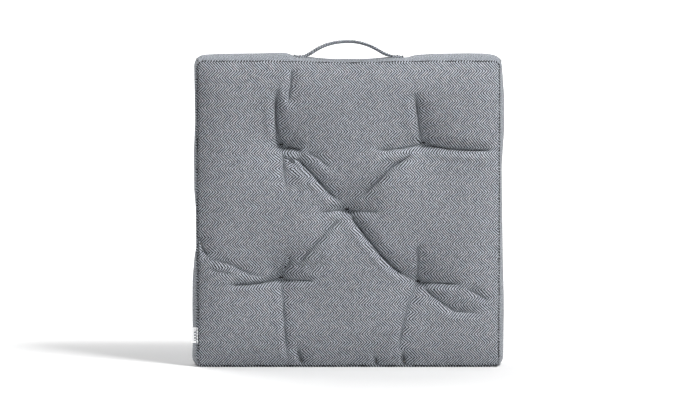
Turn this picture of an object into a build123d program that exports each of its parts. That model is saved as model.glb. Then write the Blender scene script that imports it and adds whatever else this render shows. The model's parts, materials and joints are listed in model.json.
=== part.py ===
"""Square boxed floor cushion, tufted at five points, standing on its lower edge.

Millimetres, +Z up, origin on the floor under the middle of the cushion. The front face looks along -Y.
The cover is cut as two faces and four boxing strips and sewn edge to edge. Inside it lie an inner case and
three fibre batts, and five ties pull the two faces together. A flat strap on the upper edge is the handle.
"""

import os
from math import atan, atan2, cos, degrees, pi, radians, sin

from build123d import *

# ---------------------------------------------------------------- the sewn form
width = 500.0  # across the fullest part of the boxing
height = 506.0  # up the fullest part of the boxing, before the lower edge flattens
floor_flat = 6.0  # how far the lower boxing flattens where the cushion stands on it
seam_gap = 76.0  # from the front seam to the back seam
boxing_bulge = 8.0  # how far the boxing stands out past the two seams
crown = 14.0  # how far each face stands out past its seam
crown_run = 52.0  # the border over which a face rises to its crown
crown_steps = 3  # sections between the seam and the crown
seam_corner_radius = 10.0  # of the outline at a seam
crown_corner_radius = 60.0  # of the outline of the crown

# ---------------------------------------------------------------- tufts
tuft_places = {  # X and Z from the middle of the cushion, uneven because they are pulled by hand
    "upper_left": (-108.0, 110.0),
    "upper_right": (120.0, 113.0),
    "centre": (-2.0, 6.0),
    "lower_left": (-108.0, -104.0),
    "lower_right": (112.0, -110.0),
}
tuft_waist = 40.0  # the thickness left between the floors of a pair of dimples
tuft_mouth_radius = 34.0  # where a dimple starts to fall away from the face
tuft_floor_radius = 5.0  # the small flat at the bottom of a dimple
tuft_neck = 2.0  # the straight wall just above that flat
tuft_lip = 1.0  # how far a dimple's curve starts above the face

# ---------------------------------------------------------------- cloth, case and filling
cover_thickness = 1.2
case_thickness = 0.8
layer_gap = 0.3  # between the cover, the case and the filling
core_thickness = 48.0  # the middle batt; the two outer batts fill what is left

# ---------------------------------------------------------------- thread and ties
thread_radius = 0.5
tie_radius = 1.2
tie_stitch_length = 6.0  # the bar of thread that shows at the bottom of a dimple
tie_stitch_width = 2.4
tie_stitch_height = 1.2
thread_room = 0.15  # clearance round every thread and tie

# ---------------------------------------------------------------- boxing corners
upper_corner_turn = 45.0  # degrees from level at which an upper corner seam leaves its corner
lower_corner_turn = -22.0  # a lower one is pushed up by the floor

# ---------------------------------------------------------------- handle
handle_span = 150.0  # between the two ends of the arch
handle_rise = 20.0  # of the arch's middle surface above its ends
handle_width = 28.0
handle_thickness = 3.6
handle_flare_radius = 40.0  # where the strap bends up from the boxing
handle_tab_length = 16.0  # sewn down beyond each end of the arch
handle_seat = 0.3  # between the boxing and the sewn-down tab
handle_free_span = 90.0  # the middle of the arch, which leans; the rest stays with its tab
handle_free_gap = 0.3
stitch_width = 0.9
stitch_height = 0.4
stitch_margin = 3.5  # from the edges of a tab to its box of stitches
stitch_seat = 0.1

# ---------------------------------------------------------------- label
label_height = 25.0
label_reach = 9.8  # from the seam out to its fold
label_thickness = 0.8
label_rise = 51.0  # of its middle above the floor
label_lift = 17.0  # degrees that it stands off the boxing
label_seam_gap = 0.3  # between the label and the seam's thread

# ---------------------------------------------------------------- places worked out from the above
half_width = width / 2
half_height = height / 2
middle_height = half_height - floor_flat
top_height = height - floor_flat
seam_y = seam_gap / 2
face_y = seam_y + crown
bulge_corner_radius = seam_corner_radius + boxing_bulge  # both corners turn about the same centre
corner_x = half_width - bulge_corner_radius
upper_corner_z = top_height - bulge_corner_radius
lower_corner_z = bulge_corner_radius - floor_flat
middle_plane = Plane(origin=(0, 0, middle_height), x_dir=(1, 0, 0), z_dir=(0, -1, 0))
far = width + height  # past everything
tufts = {name: (x, middle_height + z) for name, (x, z) in tuft_places.items()}
case_inset = cover_thickness + layer_gap
filling_inset = case_inset + case_thickness + layer_gap


# ---------------------------------------------------------------- forms that the layers share
def outline(y, narrower, radius):
    """A rounded rectangle at that Y, smaller than the fullest outline by narrower on every side."""
    with BuildSketch(middle_plane.offset(-y)) as section:
        RectangleRounded(width - 2 * narrower, height - 2 * narrower, radius)
    return section.sketch


def boxing_form(inset):
    """The block between the two seams, with its four sides bowed outwards."""
    at_seam = seam_y - inset
    with BuildPart() as form:
        loft(
            [
                outline(-at_seam, boxing_bulge + inset, seam_corner_radius - inset),
                outline(0, inset, bulge_corner_radius - inset),
                outline(at_seam, boxing_bulge + inset, seam_corner_radius - inset),
            ]
        )
    return form.part


def crown_form(inset):
    """The front cap, which rises from the seam to a flat crown along a quarter ellipse."""
    sections = []
    for step in range(crown_steps + 1):
        turn = pi / 2 * step / crown_steps
        rise = crown * sin(turn)
        drawn_in = 1 - cos(turn)
        radius = seam_corner_radius + (crown_corner_radius - seam_corner_radius) * drawn_in
        narrower = boxing_bulge + crown_run * drawn_in + inset
        sections.append(outline(inset - seam_y - rise, narrower, radius - inset))
    with BuildPart() as form:
        loft(sections)
    return form.part


def dimple_form(x, z, inset):
    """The room that a front dimple takes out of the form: a trumpet with a small flat floor."""
    floor_radius = tuft_floor_radius + inset
    floor_y = inset - tuft_waist / 2
    curve_y = -tuft_waist / 2 - tuft_neck
    curve_depth = face_y + tuft_lip + curve_y - inset
    outside_y = -face_y - crown
    with BuildPart() as form:
        with BuildSketch(Plane(origin=(x, 0, z), x_dir=(1, 0, 0), z_dir=(0, 0, 1))):
            with BuildLine():
                Polyline(
                    (floor_radius, curve_y),
                    (floor_radius, floor_y),
                    (0, floor_y),
                    (0, outside_y),
                    (tuft_mouth_radius, outside_y),
                    (tuft_mouth_radius, curve_y - curve_depth),
                )
                EllipticalCenterArc(
                    (tuft_mouth_radius, curve_y),
                    tuft_mouth_radius - floor_radius,
                    curve_depth,
                    start_angle=180,
                    arc_size=90,
                )
            make_face()
        revolve(axis=Axis((x, 0, z), (0, 1, 0)))
    return form.part


def cushion_form(inset):
    """The whole stuffed form, moved inwards by inset, with its dimples and its flat lower edge."""
    cap = crown_form(inset)
    with BuildPart() as form:
        add(boxing_form(inset))
        add(cap)
        add(mirror(cap, about=Plane.XZ))
        for x, z in tufts.values():
            dimple = dimple_form(x, z, inset)
            add(dimple, mode=Mode.SUBTRACT)
            add(mirror(dimple, about=Plane.XZ), mode=Mode.SUBTRACT)
        split(bisect_by=Plane.XY.offset(inset), keep=Keep.TOP)
    return form.part


def slab(start_y, end_y):
    """Everything between two depths, for cutting the filling into its batts."""
    with BuildPart() as form:
        with BuildSketch(middle_plane.offset(-start_y)):
            Rectangle(far, far)
        extrude(amount=start_y - end_y)
    return form.part


def face_room(cut_y):
    """Everything in front of a seam at that depth, and the dimples, which reach further back."""
    with BuildPart() as form:
        with BuildSketch(middle_plane.offset(cut_y)):
            Rectangle(far, far)
        extrude(amount=far)
        with BuildSketch(middle_plane):
            Rectangle(width - 2 * crown_run, height - 2 * crown_run)
        extrude(amount=cut_y)
    return form.part


def ties(room):
    """The straight shafts of the five ties, thicker by the room asked for."""
    with BuildPart() as form:
        with BuildSketch(Plane.XZ):
            with Locations(*tufts.values()):
                Circle(tie_radius + room)
        extrude(amount=tuft_waist / 2 + room, both=True)
    return form.part


def seam_thread(y, room):
    """The ring of thread round one seam of the cover, thicker by the room asked for."""
    ring = outline(y, boxing_bulge, seam_corner_radius).wire()
    with BuildPart() as form:
        with BuildSketch(Plane(origin=ring @ 0, z_dir=ring % 0)):
            Circle(thread_radius + room)
        sweep(path=ring)
    return form.part


def corner_direction(side, turn):
    """The way out of a boxing corner, as a vector; side is -1 for the left and 1 for the right."""
    return Vector(side * cos(radians(turn)), 0, sin(radians(turn)))


def corner_thread(side, corner_z, turn):
    """The thread across the boxing at one corner, from seam to seam."""
    centre = Vector(side * corner_x, 0, corner_z)
    outward = corner_direction(side, turn)
    at_seam = centre + outward * seam_corner_radius
    along_y = Vector(0, seam_y, 0)
    with BuildPart() as form:
        with BuildLine() as path:
            ThreePointArc(at_seam - along_y, centre + outward * bulge_corner_radius, at_seam + along_y)
        with BuildSketch(Plane(origin=path.line @ 0, z_dir=path.line % 0)):
            Circle(thread_radius)
        sweep(path=path.line)
    return form.part


def finish(piece, name):
    """Names a finished piece and writes it."""
    piece.label = name
    export_step(piece, f"parts/{name}.step")


os.makedirs("parts", exist_ok=True)
corners = [(side, upper_corner_z, upper_corner_turn) for side in (-1, 1)]
corners += [(side, lower_corner_z, lower_corner_turn) for side in (-1, 1)]

# ---------------------------------------------------------------- cover
with BuildPart() as cover:
    add(cushion_form(0))
    add(cushion_form(cover_thickness), mode=Mode.SUBTRACT)
    add(ties(thread_room), mode=Mode.SUBTRACT)

with BuildPart() as front_panel:
    add(cover.part)
    add(face_room(seam_y), mode=Mode.INTERSECT)
    add(seam_thread(-seam_y, thread_room), mode=Mode.SUBTRACT)
finish(front_panel.part, "front_panel")
finish(mirror(front_panel.part, about=Plane.XZ), "back_panel")

# Each boxing strip lies between the rays that leave the corners at its two ends, and stops short of each ray
# by half the room that the corner's thread takes.
strip_ends = {
    "boxing_top": (corners[0], corners[1]),
    "boxing_left": (corners[2], corners[0]),
    "boxing_right": (corners[1], corners[3]),
    "boxing_bottom": (corners[3], corners[2]),
}
for name, ends in strip_ends.items():
    near_points = []
    far_points = []
    for direction_round, (side, z, turn) in zip((1, -1), ends):
        outward = corner_direction(side, turn)
        along_strip = Vector(outward.Z, 0, -outward.X) * direction_round
        start = Vector(side * corner_x, 0, z) + along_strip * (thread_radius + thread_room)
        near_points.append(start)
        far_points.append(start + outward * far)
    around = [(p.X, p.Z) for p in (near_points[0], far_points[0], far_points[1], near_points[1])]
    with BuildPart() as strip:
        with BuildSketch(Plane.XZ):
            with BuildLine():
                Polyline(*around, close=True)
            make_face()
        extrude(amount=seam_y, both=True)
        add(cover.part, mode=Mode.INTERSECT)
        for seam in (-seam_y, seam_y):
            add(seam_thread(seam, thread_room), mode=Mode.SUBTRACT)
    finish(strip.part, name)

# ---------------------------------------------------------------- sewing
for name, seam in (("front_seam_thread", -seam_y), ("back_seam_thread", seam_y)):
    finish(seam_thread(seam, 0), name)

corner_end_y = seam_y - thread_radius - 2 * thread_room
with BuildPart() as corner_threads:
    for corner in corners:
        add(corner_thread(*corner))
    add(slab(-corner_end_y, corner_end_y), mode=Mode.INTERSECT)
finish(corner_threads.part, "corner_seam_threads")

# ---------------------------------------------------------------- inner case
case_seam_y = seam_y - case_inset
with BuildPart() as case:
    add(cushion_form(case_inset))
    add(cushion_form(case_inset + case_thickness), mode=Mode.SUBTRACT)
    add(ties(thread_room), mode=Mode.SUBTRACT)

with BuildPart() as case_front:
    add(case.part)
    add(face_room(case_seam_y), mode=Mode.INTERSECT)
finish(case_front.part, "inner_case_front")

case_back = mirror(case_front.part, about=Plane.XZ)
finish(case_back, "inner_case_back")

with BuildPart() as case_boxing:
    add(case.part)
    add(case_front.part, mode=Mode.SUBTRACT)
    add(case_back, mode=Mode.SUBTRACT)
finish(case_boxing.part, "inner_case_boxing")

# ---------------------------------------------------------------- filling
core_y = core_thickness / 2
with BuildPart() as filling:
    add(cushion_form(filling_inset))
    add(ties(thread_room), mode=Mode.SUBTRACT)

filling_pieces = (
    ("filling_front", -far, -core_y),
    ("filling_core", -core_y, core_y),
    ("filling_back", core_y, far),
)
for name, start, end in filling_pieces:
    with BuildPart() as batt:
        add(filling.part)
        add(slab(start, end), mode=Mode.INTERSECT)
    finish(batt.part, name)

# ---------------------------------------------------------------- tuft ties
stitch_start = tuft_waist / 2 + thread_room
for name, (x, z) in tufts.items():
    with BuildPart() as tie:
        with BuildSketch(Plane.XZ):
            with Locations((x, z)):
                Circle(tie_radius)
        extrude(amount=stitch_start, both=True)
        for side in (-1, 1):
            with BuildSketch(Plane.XZ.offset(side * stitch_start)):
                with Locations((x, z)):
                    SlotOverall(tie_stitch_length, tie_stitch_width)
            extrude(amount=side * tie_stitch_height)
    finish(tie.part, f"tuft_tie_{name}")

# ---------------------------------------------------------------- handle
hinge_height = top_height + handle_seat + handle_thickness / 2
half_span = handle_span / 2
half_free = handle_free_span / 2
crown_arc_radius = (half_span**2 + handle_rise**2 - 2 * handle_rise * handle_flare_radius) / (2 * handle_rise)
arch_turn = degrees(atan2(half_span, crown_arc_radius + handle_flare_radius - handle_rise))
with BuildPart() as arch:
    with BuildSketch(Plane.XZ.offset(-handle_width / 2)):
        with BuildLine():
            CenterArc(
                (0, hinge_height + handle_rise - crown_arc_radius),
                crown_arc_radius,
                start_angle=90 - arch_turn,
                arc_size=2 * arch_turn,
            )
            for side in (-1, 1):
                CenterArc(
                    (side * half_span, hinge_height + handle_flare_radius),
                    handle_flare_radius,
                    start_angle=-90,
                    arc_size=-side * arch_turn,
                )
        trace(line_width=handle_thickness)
    extrude(amount=handle_width)

with BuildPart() as handle_strap:
    add(arch.part)
    with BuildSketch(Plane.XZ.offset(-handle_width)):
        with Locations((0, hinge_height)):
            Rectangle(handle_free_span, 2 * far)
    extrude(amount=2 * handle_width, mode=Mode.INTERSECT)
finish(handle_strap.part, "handle_strap")

tab_middle = half_span + handle_tab_length / 2
end_start = half_free + handle_free_gap
end_length = half_span + handle_tab_length - end_start
for name, side in (("left", -1), ("right", 1)):
    with BuildPart() as handle_end:
        with BuildSketch(Plane.XY.offset(middle_height)):
            with Locations((side * tab_middle, 0)):
                Rectangle(handle_tab_length, handle_width)
        extrude(amount=height)
        add(boxing_form(-handle_seat - handle_thickness), mode=Mode.INTERSECT)
        add(boxing_form(-handle_seat), mode=Mode.SUBTRACT)
        add(arch.part)
        with BuildSketch(Plane.XY.offset(middle_height)):
            with Locations((side * (end_start + end_length / 2), 0)):
                Rectangle(end_length, 2 * handle_width)
        extrude(amount=height, mode=Mode.INTERSECT)
    finish(handle_end.part, f"handle_end_{name}")

    stitch_base = handle_seat + handle_thickness + stitch_seat
    with BuildPart() as stitches:
        with BuildSketch(Plane.XY.offset(middle_height)):
            with Locations((side * tab_middle, 0)):
                Rectangle(handle_tab_length - 2 * stitch_margin, handle_width - 2 * stitch_margin)
                Rectangle(
                    handle_tab_length - 2 * stitch_margin - 2 * stitch_width,
                    handle_width - 2 * stitch_margin - 2 * stitch_width,
                    mode=Mode.SUBTRACT,
                )
        extrude(amount=height)
        add(boxing_form(-stitch_base - stitch_height), mode=Mode.INTERSECT)
        add(boxing_form(-stitch_base), mode=Mode.SUBTRACT)
    finish(stitches.part, f"handle_stitches_{name}")

# ---------------------------------------------------------------- label
label_root = Vector(boxing_bulge - half_width - thread_radius - label_seam_gap - label_thickness / 2, -seam_y)
label_turn = 90 + degrees(atan(2 * boxing_bulge / seam_y)) + label_lift
label_way = Vector(cos(radians(label_turn)), sin(radians(label_turn)))
label_plane = Plane(
    origin=label_root + Vector(0, 0, label_rise - label_height / 2),
    x_dir=label_way,
    z_dir=(0, 0, 1),
)
with BuildPart() as label:
    with BuildSketch(label_plane):
        with Locations((label_reach / 2, 0)):
            SlotCenterToCenter(label_reach, label_thickness)
    extrude(amount=label_height)
finish(label.part, "label")

print("handle hinge height", hinge_height, "arch turn", round(arch_turn, 2))
print("label hinge", round(label_root.X, 3), round(label_root.Y, 3), "turn", round(label_turn, 2))
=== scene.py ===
import json
from functools import partial
from math import atan2, cos, hypot, pi, radians, sin

import bmesh
import bpy
import numpy as np
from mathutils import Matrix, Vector


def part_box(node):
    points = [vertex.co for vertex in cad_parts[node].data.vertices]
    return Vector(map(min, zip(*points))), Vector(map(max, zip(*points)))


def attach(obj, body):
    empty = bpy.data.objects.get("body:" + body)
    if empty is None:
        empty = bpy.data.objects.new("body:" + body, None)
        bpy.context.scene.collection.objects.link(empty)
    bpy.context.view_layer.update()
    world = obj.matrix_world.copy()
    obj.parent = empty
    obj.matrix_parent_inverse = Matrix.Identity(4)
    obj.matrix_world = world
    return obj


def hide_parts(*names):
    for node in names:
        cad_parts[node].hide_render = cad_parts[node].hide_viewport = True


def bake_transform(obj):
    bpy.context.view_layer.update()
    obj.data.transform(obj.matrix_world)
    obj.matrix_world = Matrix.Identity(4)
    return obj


bl_info = {
    "name": "Tufted floor cushion",
    "version": (1, 0, 0),
    "blender": (4, 5, 0),
    "location": "3D View > Sidebar > Cushion",
    "description": "Makes a boxed and tufted herringbone floor cushion with a strap handle and a label",
    "category": "Add Mesh",
}

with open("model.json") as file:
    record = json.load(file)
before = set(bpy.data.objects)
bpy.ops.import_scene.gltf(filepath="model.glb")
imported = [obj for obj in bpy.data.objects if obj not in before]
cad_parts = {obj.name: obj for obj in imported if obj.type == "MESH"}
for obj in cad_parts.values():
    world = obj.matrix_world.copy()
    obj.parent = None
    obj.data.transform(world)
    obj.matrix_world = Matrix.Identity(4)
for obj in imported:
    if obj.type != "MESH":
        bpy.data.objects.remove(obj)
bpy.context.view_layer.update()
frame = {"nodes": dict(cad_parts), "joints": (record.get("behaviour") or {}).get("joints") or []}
MM = 0.001

# ---------------------------------------------------------------- places that come from the frame
thread_low, thread_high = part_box("front_seam_thread")
THREAD_RADIUS = (thread_high.y - thread_low.y) / 2
SEAM_Y = -(thread_low.y + thread_high.y) / 2
HALF_X = (thread_high.x - thread_low.x) / 2 - THREAD_RADIUS
HALF_Z = (thread_high.z - thread_low.z) / 2 - THREAD_RADIUS
MIDDLE_Z = (thread_high.z + thread_low.z) / 2
BULGE = -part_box("boxing_left")[0].x - HALF_X
CROWN = -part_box("front_panel")[0].y - SEAM_Y
TUFT_NAMES = ("upper_left", "upper_right", "centre", "lower_left", "lower_right")


def middle_of(node):
    """The middle of a CAD node's box."""
    low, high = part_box(node)
    return (low + high) / 2


TUFTS = {name: middle_of(f"tuft_tie_{name}") for name in TUFT_NAMES}
TUFT_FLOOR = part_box("tuft_tie_centre")[1].y - 1.4 * MM  # the cloth lies just under the stitch of each tie

# ---------------------------------------------------------------- shape of the stuffed cover
CORNER_RADIUS = 10 * MM  # of the seam outline
BORDER_RUN = 58 * MM  # over which a face rises from its seam
GRID_STEP = 5.0 * MM
EDGE_STEPS = (1.8 * MM, 2.6 * MM, 3.8 * MM)  # finer cells next to a seam
BOXING_CELLS = 12
SETTLED_SHARE = 0.6  # how much of what the cloth moved is kept on the two faces
SETTLED_SHARE_BOXING = 0.35
MOST_MOVED = 9 * MM
CREASE_GATHER = 0.6  # how much of its way to a crease the cloth is drawn in
CREASE_DEPTH = 1.9  # every crease listed below is this many times as deep as its line says
INNER_SPREAD = 2.6  # the layers under the cover follow its creases this much more softly
PUCKER = 0.8 * MM  # height of the gathers along the seams
STITCH_INSET = 1.2 * MM  # from the seam to its row of stitches
STITCH_PROUD = 0.8 * MM  # how far a stitch stands off the cloth
SEAM_REACH = 8 * MM  # how far in from a seam its gathers run and the creases fade
SEAM_SAG = 2.4 * MM  # of the top edge, in its middle
SAG_REACH = 75 * MM  # to either side of that middle
TUFT_FUNNEL = 20 * MM  # depth of the narrow funnel round a tie
TUFT_FUNNEL_RUN = 10 * MM
TUFT_DISH = 15 * MM  # depth of the wide dish round a tuft
TUFT_DISH_RUN = 50 * MM
TUFT_HELD = 4 * MM  # round a tie, where the cloth can't move
CLOTH_FRAMES = 24  # steps in which the cloth settles

# Creases of the front face: points from the cushion's middle in millimetres, then depth and half width.
FRONT_CREASES = (
    (((-108, 104), (-112, 122), (-116, 145), (-117, 168), (-114, 204)), 8, 4.5),
    (((-91, 232), (-93, 208), (-96, 184), (-98, 168)), 4, 4),
    (((-108, 106), (-92, 106), (-72, 100)), 6, 5),
    (((-106, 98), (-104, 66), (-100, 34)), 2.5, 7),
    (((-84, 90), (-60, 66), (-38, 42), (-10, 14)), 6, 4.5),
    (((-98, 90), (-80, 72), (-58, 48)), 3.5, 3.5),
    (((-66, 98), (-46, 88), (-28, 70)), 3, 4.5),
    (((120, 112), (114, 134), (110, 160), (106, 198)), 6, 5.5),
    (((120, 110), (84, 104), (38, 101)), 4, 5),
    (((120, 110), (160, 104), (200, 102), (243, 101)), 6, 4.5),
    (((104, 98), (92, 88), (70, 74), (38, 42), (10, 14)), 5.5, 4),
    (((-48, 2), (-2, 5), (58, 2)), 3, 4.5),
    (((-10, -8), (-22, -18), (-52, -50), (-77, -80), (-98, -96)), 4.5, 3.2),
    (((2, -2), (12, -17), (30, -40), (52, -66), (76, -90), (106, -108)), 7.5, 4.5),
    (((-108, -108), (-150, -113), (-196, -115)), 6, 3),
    (((-108, -108), (-80, -107), (-50, -108)), 3, 3.5),
    (((-241, -36), (-234, -54), (-222, -72)), 5, 5),
    (((-222, -72), (-190, -80), (-157, -98), (-120, -104)), 3, 4),
    (((-222, -88), (-200, -93), (-178, -98)), 2, 3.5),
    (((-107, -98), (-98, -84), (-88, -68)), 5, 3.5),
    (((-108, -98), (-104, -80), (-98, -62)), 4, 3.5),
    (((-62, -92), (-50, -80), (-40, -64)), 2, 4),
    (((-108, -114), (-105, -150), (-99, -238)), 3.8, 3.5),
    (((114, -110), (150, -112), (184, -113)), 4.5, 4.5),
    (((118, -116), (134, -132), (168, -156), (218, -160)), 3.5, 4.5),
    (((190, -120), (208, -130), (228, -142)), 3, 4),
    (((112, -104), (111, -80), (111, -46)), 4, 4.5),
    (((108, -116), (94, -150), (84, -190), (76, -232)), 5, 4.5),
    (((-80, -218), (-77, -232), (-74, -245)), 7, 4),
    (((44, -228), (45, -246)), 6, 4),
    (((88, -222), (90, -246)), 7, 4.5),
)
# The back face was not worked as hard: a crease from tuft to tuft and short ones round each.
BACK_CREASES = (
    (((-112, 110), (-70, 70), (2, 6)), 4, 6),
    (((120, 113), (60, 62), (-2, 6)), 4, 6),
    (((-108, -104), (-60, -58), (-2, 6)), 5, 6),
    (((112, -110), (60, -50), (-2, 6)), 4, 6),
    (((-108, 110), (-112, 150), (-106, 200)), 5, 6),
    (((120, 113), (124, 150), (118, 206)), 5, 6),
    (((-108, -104), (-160, -110), (-214, -106)), 4, 6),
    (((112, -110), (160, -104), (222, -110)), 4, 6),
    (((-108, -104), (-112, -160), (-104, -222)), 4, 6),
    (((112, -110), (108, -160), (116, -224)), 4, 6),
)
CREASES = {"front_panel": FRONT_CREASES, "back_panel": BACK_CREASES}
# How full each side of the boxing is, from one end to the other: place from -1 to 1, then share of the bulge.
FULLNESS = {
    "left": (
        (-1, 1.4), (-0.85, 1.2), (-0.65, 1.3), (-0.45, 1.25), (-0.28, 0.8), (-0.17, 0), (-0.1, 0.15),
        (0, 0.45), (0.15, 0.85), (0.4, 0.9), (0.6, 0.6), (0.8, 0.7), (1, 0.8),
    ),
    "right": (
        (-1, 1), (-0.6, 1.15), (-0.3, 0.9), (0.1, 0.7), (0.3, 0.6), (0.55, 1.1), (0.75, 1.1), (1, 0.5),
    ),
    "top": (
        (-1, 1), (-0.85, 1.25), (-0.6, 1.35), (-0.43, 1.55), (-0.39, 1.35), (-0.345, 0.55), (-0.28, 0.8),
        (-0.2, 0.6), (-0.1, 0.45), (0, 0.55), (0.1, 0.45), (0.2, 0.6), (0.3, 0.8), (0.385, 0.5),
        (0.44, 1.05), (0.55, 1.25), (0.8, 1.35), (0.9, 1.3), (1, 0.9),
    ),
    "bottom": ((-1, 0.3), (0, 0.3), (1, 0.3)),
}
PANELS = ("front_panel", "back_panel", "boxing_left", "boxing_right", "boxing_top", "boxing_bottom")


def ease(t):
    """A smooth step from 0 to 1."""
    t = np.clip(t, 0, 1)
    return t * t * (3 - 2 * t)


def waves(points, length, seed):
    """A smooth, uneven field over points: the sum of a few plane waves of about that length."""
    chance = np.random.default_rng(seed)
    total = np.zeros(len(points))
    for _ in range(9):
        way = chance.normal(size=3)
        way /= np.linalg.norm(way)
        phase = points @ way * 2 * pi / (length * chance.uniform(0.7, 1.5))
        total += np.sin(phase + chance.uniform(0, 2 * pi))
    return total / 3


def grid_lines(half):
    """Places from -half to half, GRID_STEP apart and closer together next to the seams."""
    edge = np.cumsum((0,) + EDGE_STEPS)
    inner = half - edge[-1]
    cells = int(np.ceil(2 * inner / GRID_STEP))
    middle = np.linspace(-inner, inner, cells + 1)[1:-1]
    return np.concatenate([edge - half, middle, half - edge[::-1]])


def round_off(x, z):
    """Turns the square corners of the seam outline into round ones."""
    over_x = (np.abs(x) - HALF_X + CORNER_RADIUS) / CORNER_RADIUS
    over_z = (np.abs(z) - HALF_Z + CORNER_RADIUS) / CORNER_RADIUS
    inside = (over_x > 0) & (over_z > 0)
    a = np.where(inside, over_x, 0)
    b = np.where(inside, over_z, 0)
    new_x = HALF_X - CORNER_RADIUS + CORNER_RADIUS * a * np.sqrt(1 - b * b / 2)
    new_z = HALF_Z - CORNER_RADIUS + CORNER_RADIUS * b * np.sqrt(1 - a * a / 2)
    return np.where(inside, np.sign(x) * new_x, x), np.where(inside, np.sign(z) * new_z, z)


def border_rise(distance):
    """How far up its crown a face has come at that distance from its seam."""
    t = np.clip(distance / BORDER_RUN, 0, 1)
    return (1 - (1 - t) ** 2.3) ** (1 / 1.35)


def line_distance(x, z, line):
    """How far each point lies off a line given in millimetres, as x and z, and how far along it, 0 to 1."""
    best = np.full(len(x), np.inf)
    best_x, best_z, along = np.zeros((3, len(x)))
    ends = np.array(line, float) * MM
    lengths = np.linalg.norm(np.diff(ends, axis=0), axis=1)
    before = np.concatenate([[0], np.cumsum(lengths)])
    for a, b, length, start in zip(ends[:-1], ends[1:], lengths, before):
        way = (b - a) / length
        t = np.clip((x - a[0]) * way[0] + (z - a[1]) * way[1], 0, length)
        off_x, off_z = x - a[0] - way[0] * t, z - a[1] - way[1] * t
        away = np.hypot(off_x, off_z)
        near = away < best
        best = np.where(near, away, best)
        best_x = np.where(near, off_x, best_x)
        best_z = np.where(near, off_z, best_z)
        along = np.where(near, (start + t) / before[-1], along)
    return best_x, best_z, along


def crease_field(x, z, creases, spread=1.0):
    """How deep the creases cut at each point, how strongly they hold it, and how far it is drawn in.

    A crease is a fold: narrow at its bottom, steeper above than below, with a soft roll of cloth under it.
    """
    depth, rolls, hold, drawn_x, drawn_z = np.zeros((5, len(x)))
    for line, deep, half_width in creases:
        off_x, off_z, along = line_distance(x, z, line)
        away = np.hypot(off_x, off_z)
        side = 0.6 * off_x + 0.8 * off_z
        taper = ease(along * 5 + 0.35) * ease((1 - along) * 3.2 + 0.05)
        width = spread * half_width * MM * np.where(side > 0, 1.25, 0.8)
        deep = deep * CREASE_DEPTH * MM
        sharp = 0.62 * np.exp(-away / (0.62 * width))
        soft = 0.38 * np.exp(-((away / (2.6 * width)) ** 2))
        groove = deep * taper * (sharp + soft)
        roll = np.exp(-(((away / width - 3.0) / 1.5) ** 2)) * np.where(side > 0, 0.10, 0.26)
        gather = -CREASE_GATHER * taper * np.exp(-((away / (1.4 * width)) ** 2))
        drawn_x = np.where(groove > depth, gather * off_x, drawn_x)
        drawn_z = np.where(groove > depth, gather * off_z, drawn_z)
        depth = np.maximum(depth, groove)
        rolls = np.maximum(rolls, deep * taper * roll)
        hold = np.maximum(hold, taper * np.exp(-((away / (0.6 * half_width * MM)) ** 2)))
    return depth - rolls * (spread <= 1), hold, drawn_x, drawn_z


def fold(points, creases, spread=1.0):
    """The points of one face with its creases folded in, less and less towards the seams."""
    x, z = points[:, 0], points[:, 2]
    depth, _, drawn_x, drawn_z = crease_field(x, z, creases, spread)
    from_seam = np.minimum(HALF_X - np.abs(x), HALF_Z - np.abs(z))
    edge = np.clip(from_seam / SEAM_REACH, 0, 1)
    folded = points.copy()
    folded[:, 0] += drawn_x * edge
    folded[:, 2] += drawn_z * edge
    out = np.abs(points[:, 1])
    lower = out - depth * edge - pucker(x, z, from_seam)
    folded[:, 1] = np.sign(points[:, 1]) * np.maximum(lower, np.minimum(out, TUFT_FLOOR))
    return folded


def pucker(x, z, from_seam):
    """The small gathers that the sewing leaves along the seams."""
    along = np.where(HALF_X - np.abs(x) < HALF_Z - np.abs(z), z, x)
    near = np.exp(-from_seam / SEAM_REACH) * np.clip(from_seam / (2.5 * MM), 0, 1)
    uneven = 0.55 + 0.45 * np.sin(along / (23 * MM) + 1.3) * np.sin(along / (57 * MM))
    gathers = PUCKER * near * uneven * np.sin(along / (1.9 * MM) + 2.2 * np.sin(along / (13 * MM)))
    stitch_line = 0.9 * MM * np.exp(-(((from_seam - STITCH_INSET) / (1.5 * MM)) ** 2))
    return gathers + stitch_line


def tuft_field(x, z):
    """How far the tufts draw a face in at each point, and how strongly a point is held by one."""
    depth = np.zeros(len(x))
    hold = np.zeros(len(x))
    for spot in TUFTS.values():
        away = np.hypot(x - spot.x, z - spot.z + MIDDLE_Z)
        funnel = TUFT_FUNNEL * np.exp(-np.maximum(away - 3.5 * MM, 0) / TUFT_FUNNEL_RUN)
        dish = TUFT_DISH * np.exp(-((away / TUFT_DISH_RUN) ** 2))
        depth = np.maximum(depth, funnel + dish)
        hold = np.maximum(hold, np.exp(-((away / TUFT_HELD) ** 2)))
    return depth, hold


def fullness(side, place):
    """The share of the full bulge at each place along one side of the boxing."""
    known = np.array(FULLNESS[side])
    fine = np.linspace(-1, 1, 201)
    shares = np.interp(fine, known[:, 0], known[:, 1])
    blur = np.exp(-(np.linspace(-2, 2, 7) ** 2))
    shares = np.convolve(np.pad(shares, 3, mode="edge"), blur / blur.sum(), mode="valid")
    return np.interp(place, fine, shares)


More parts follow.
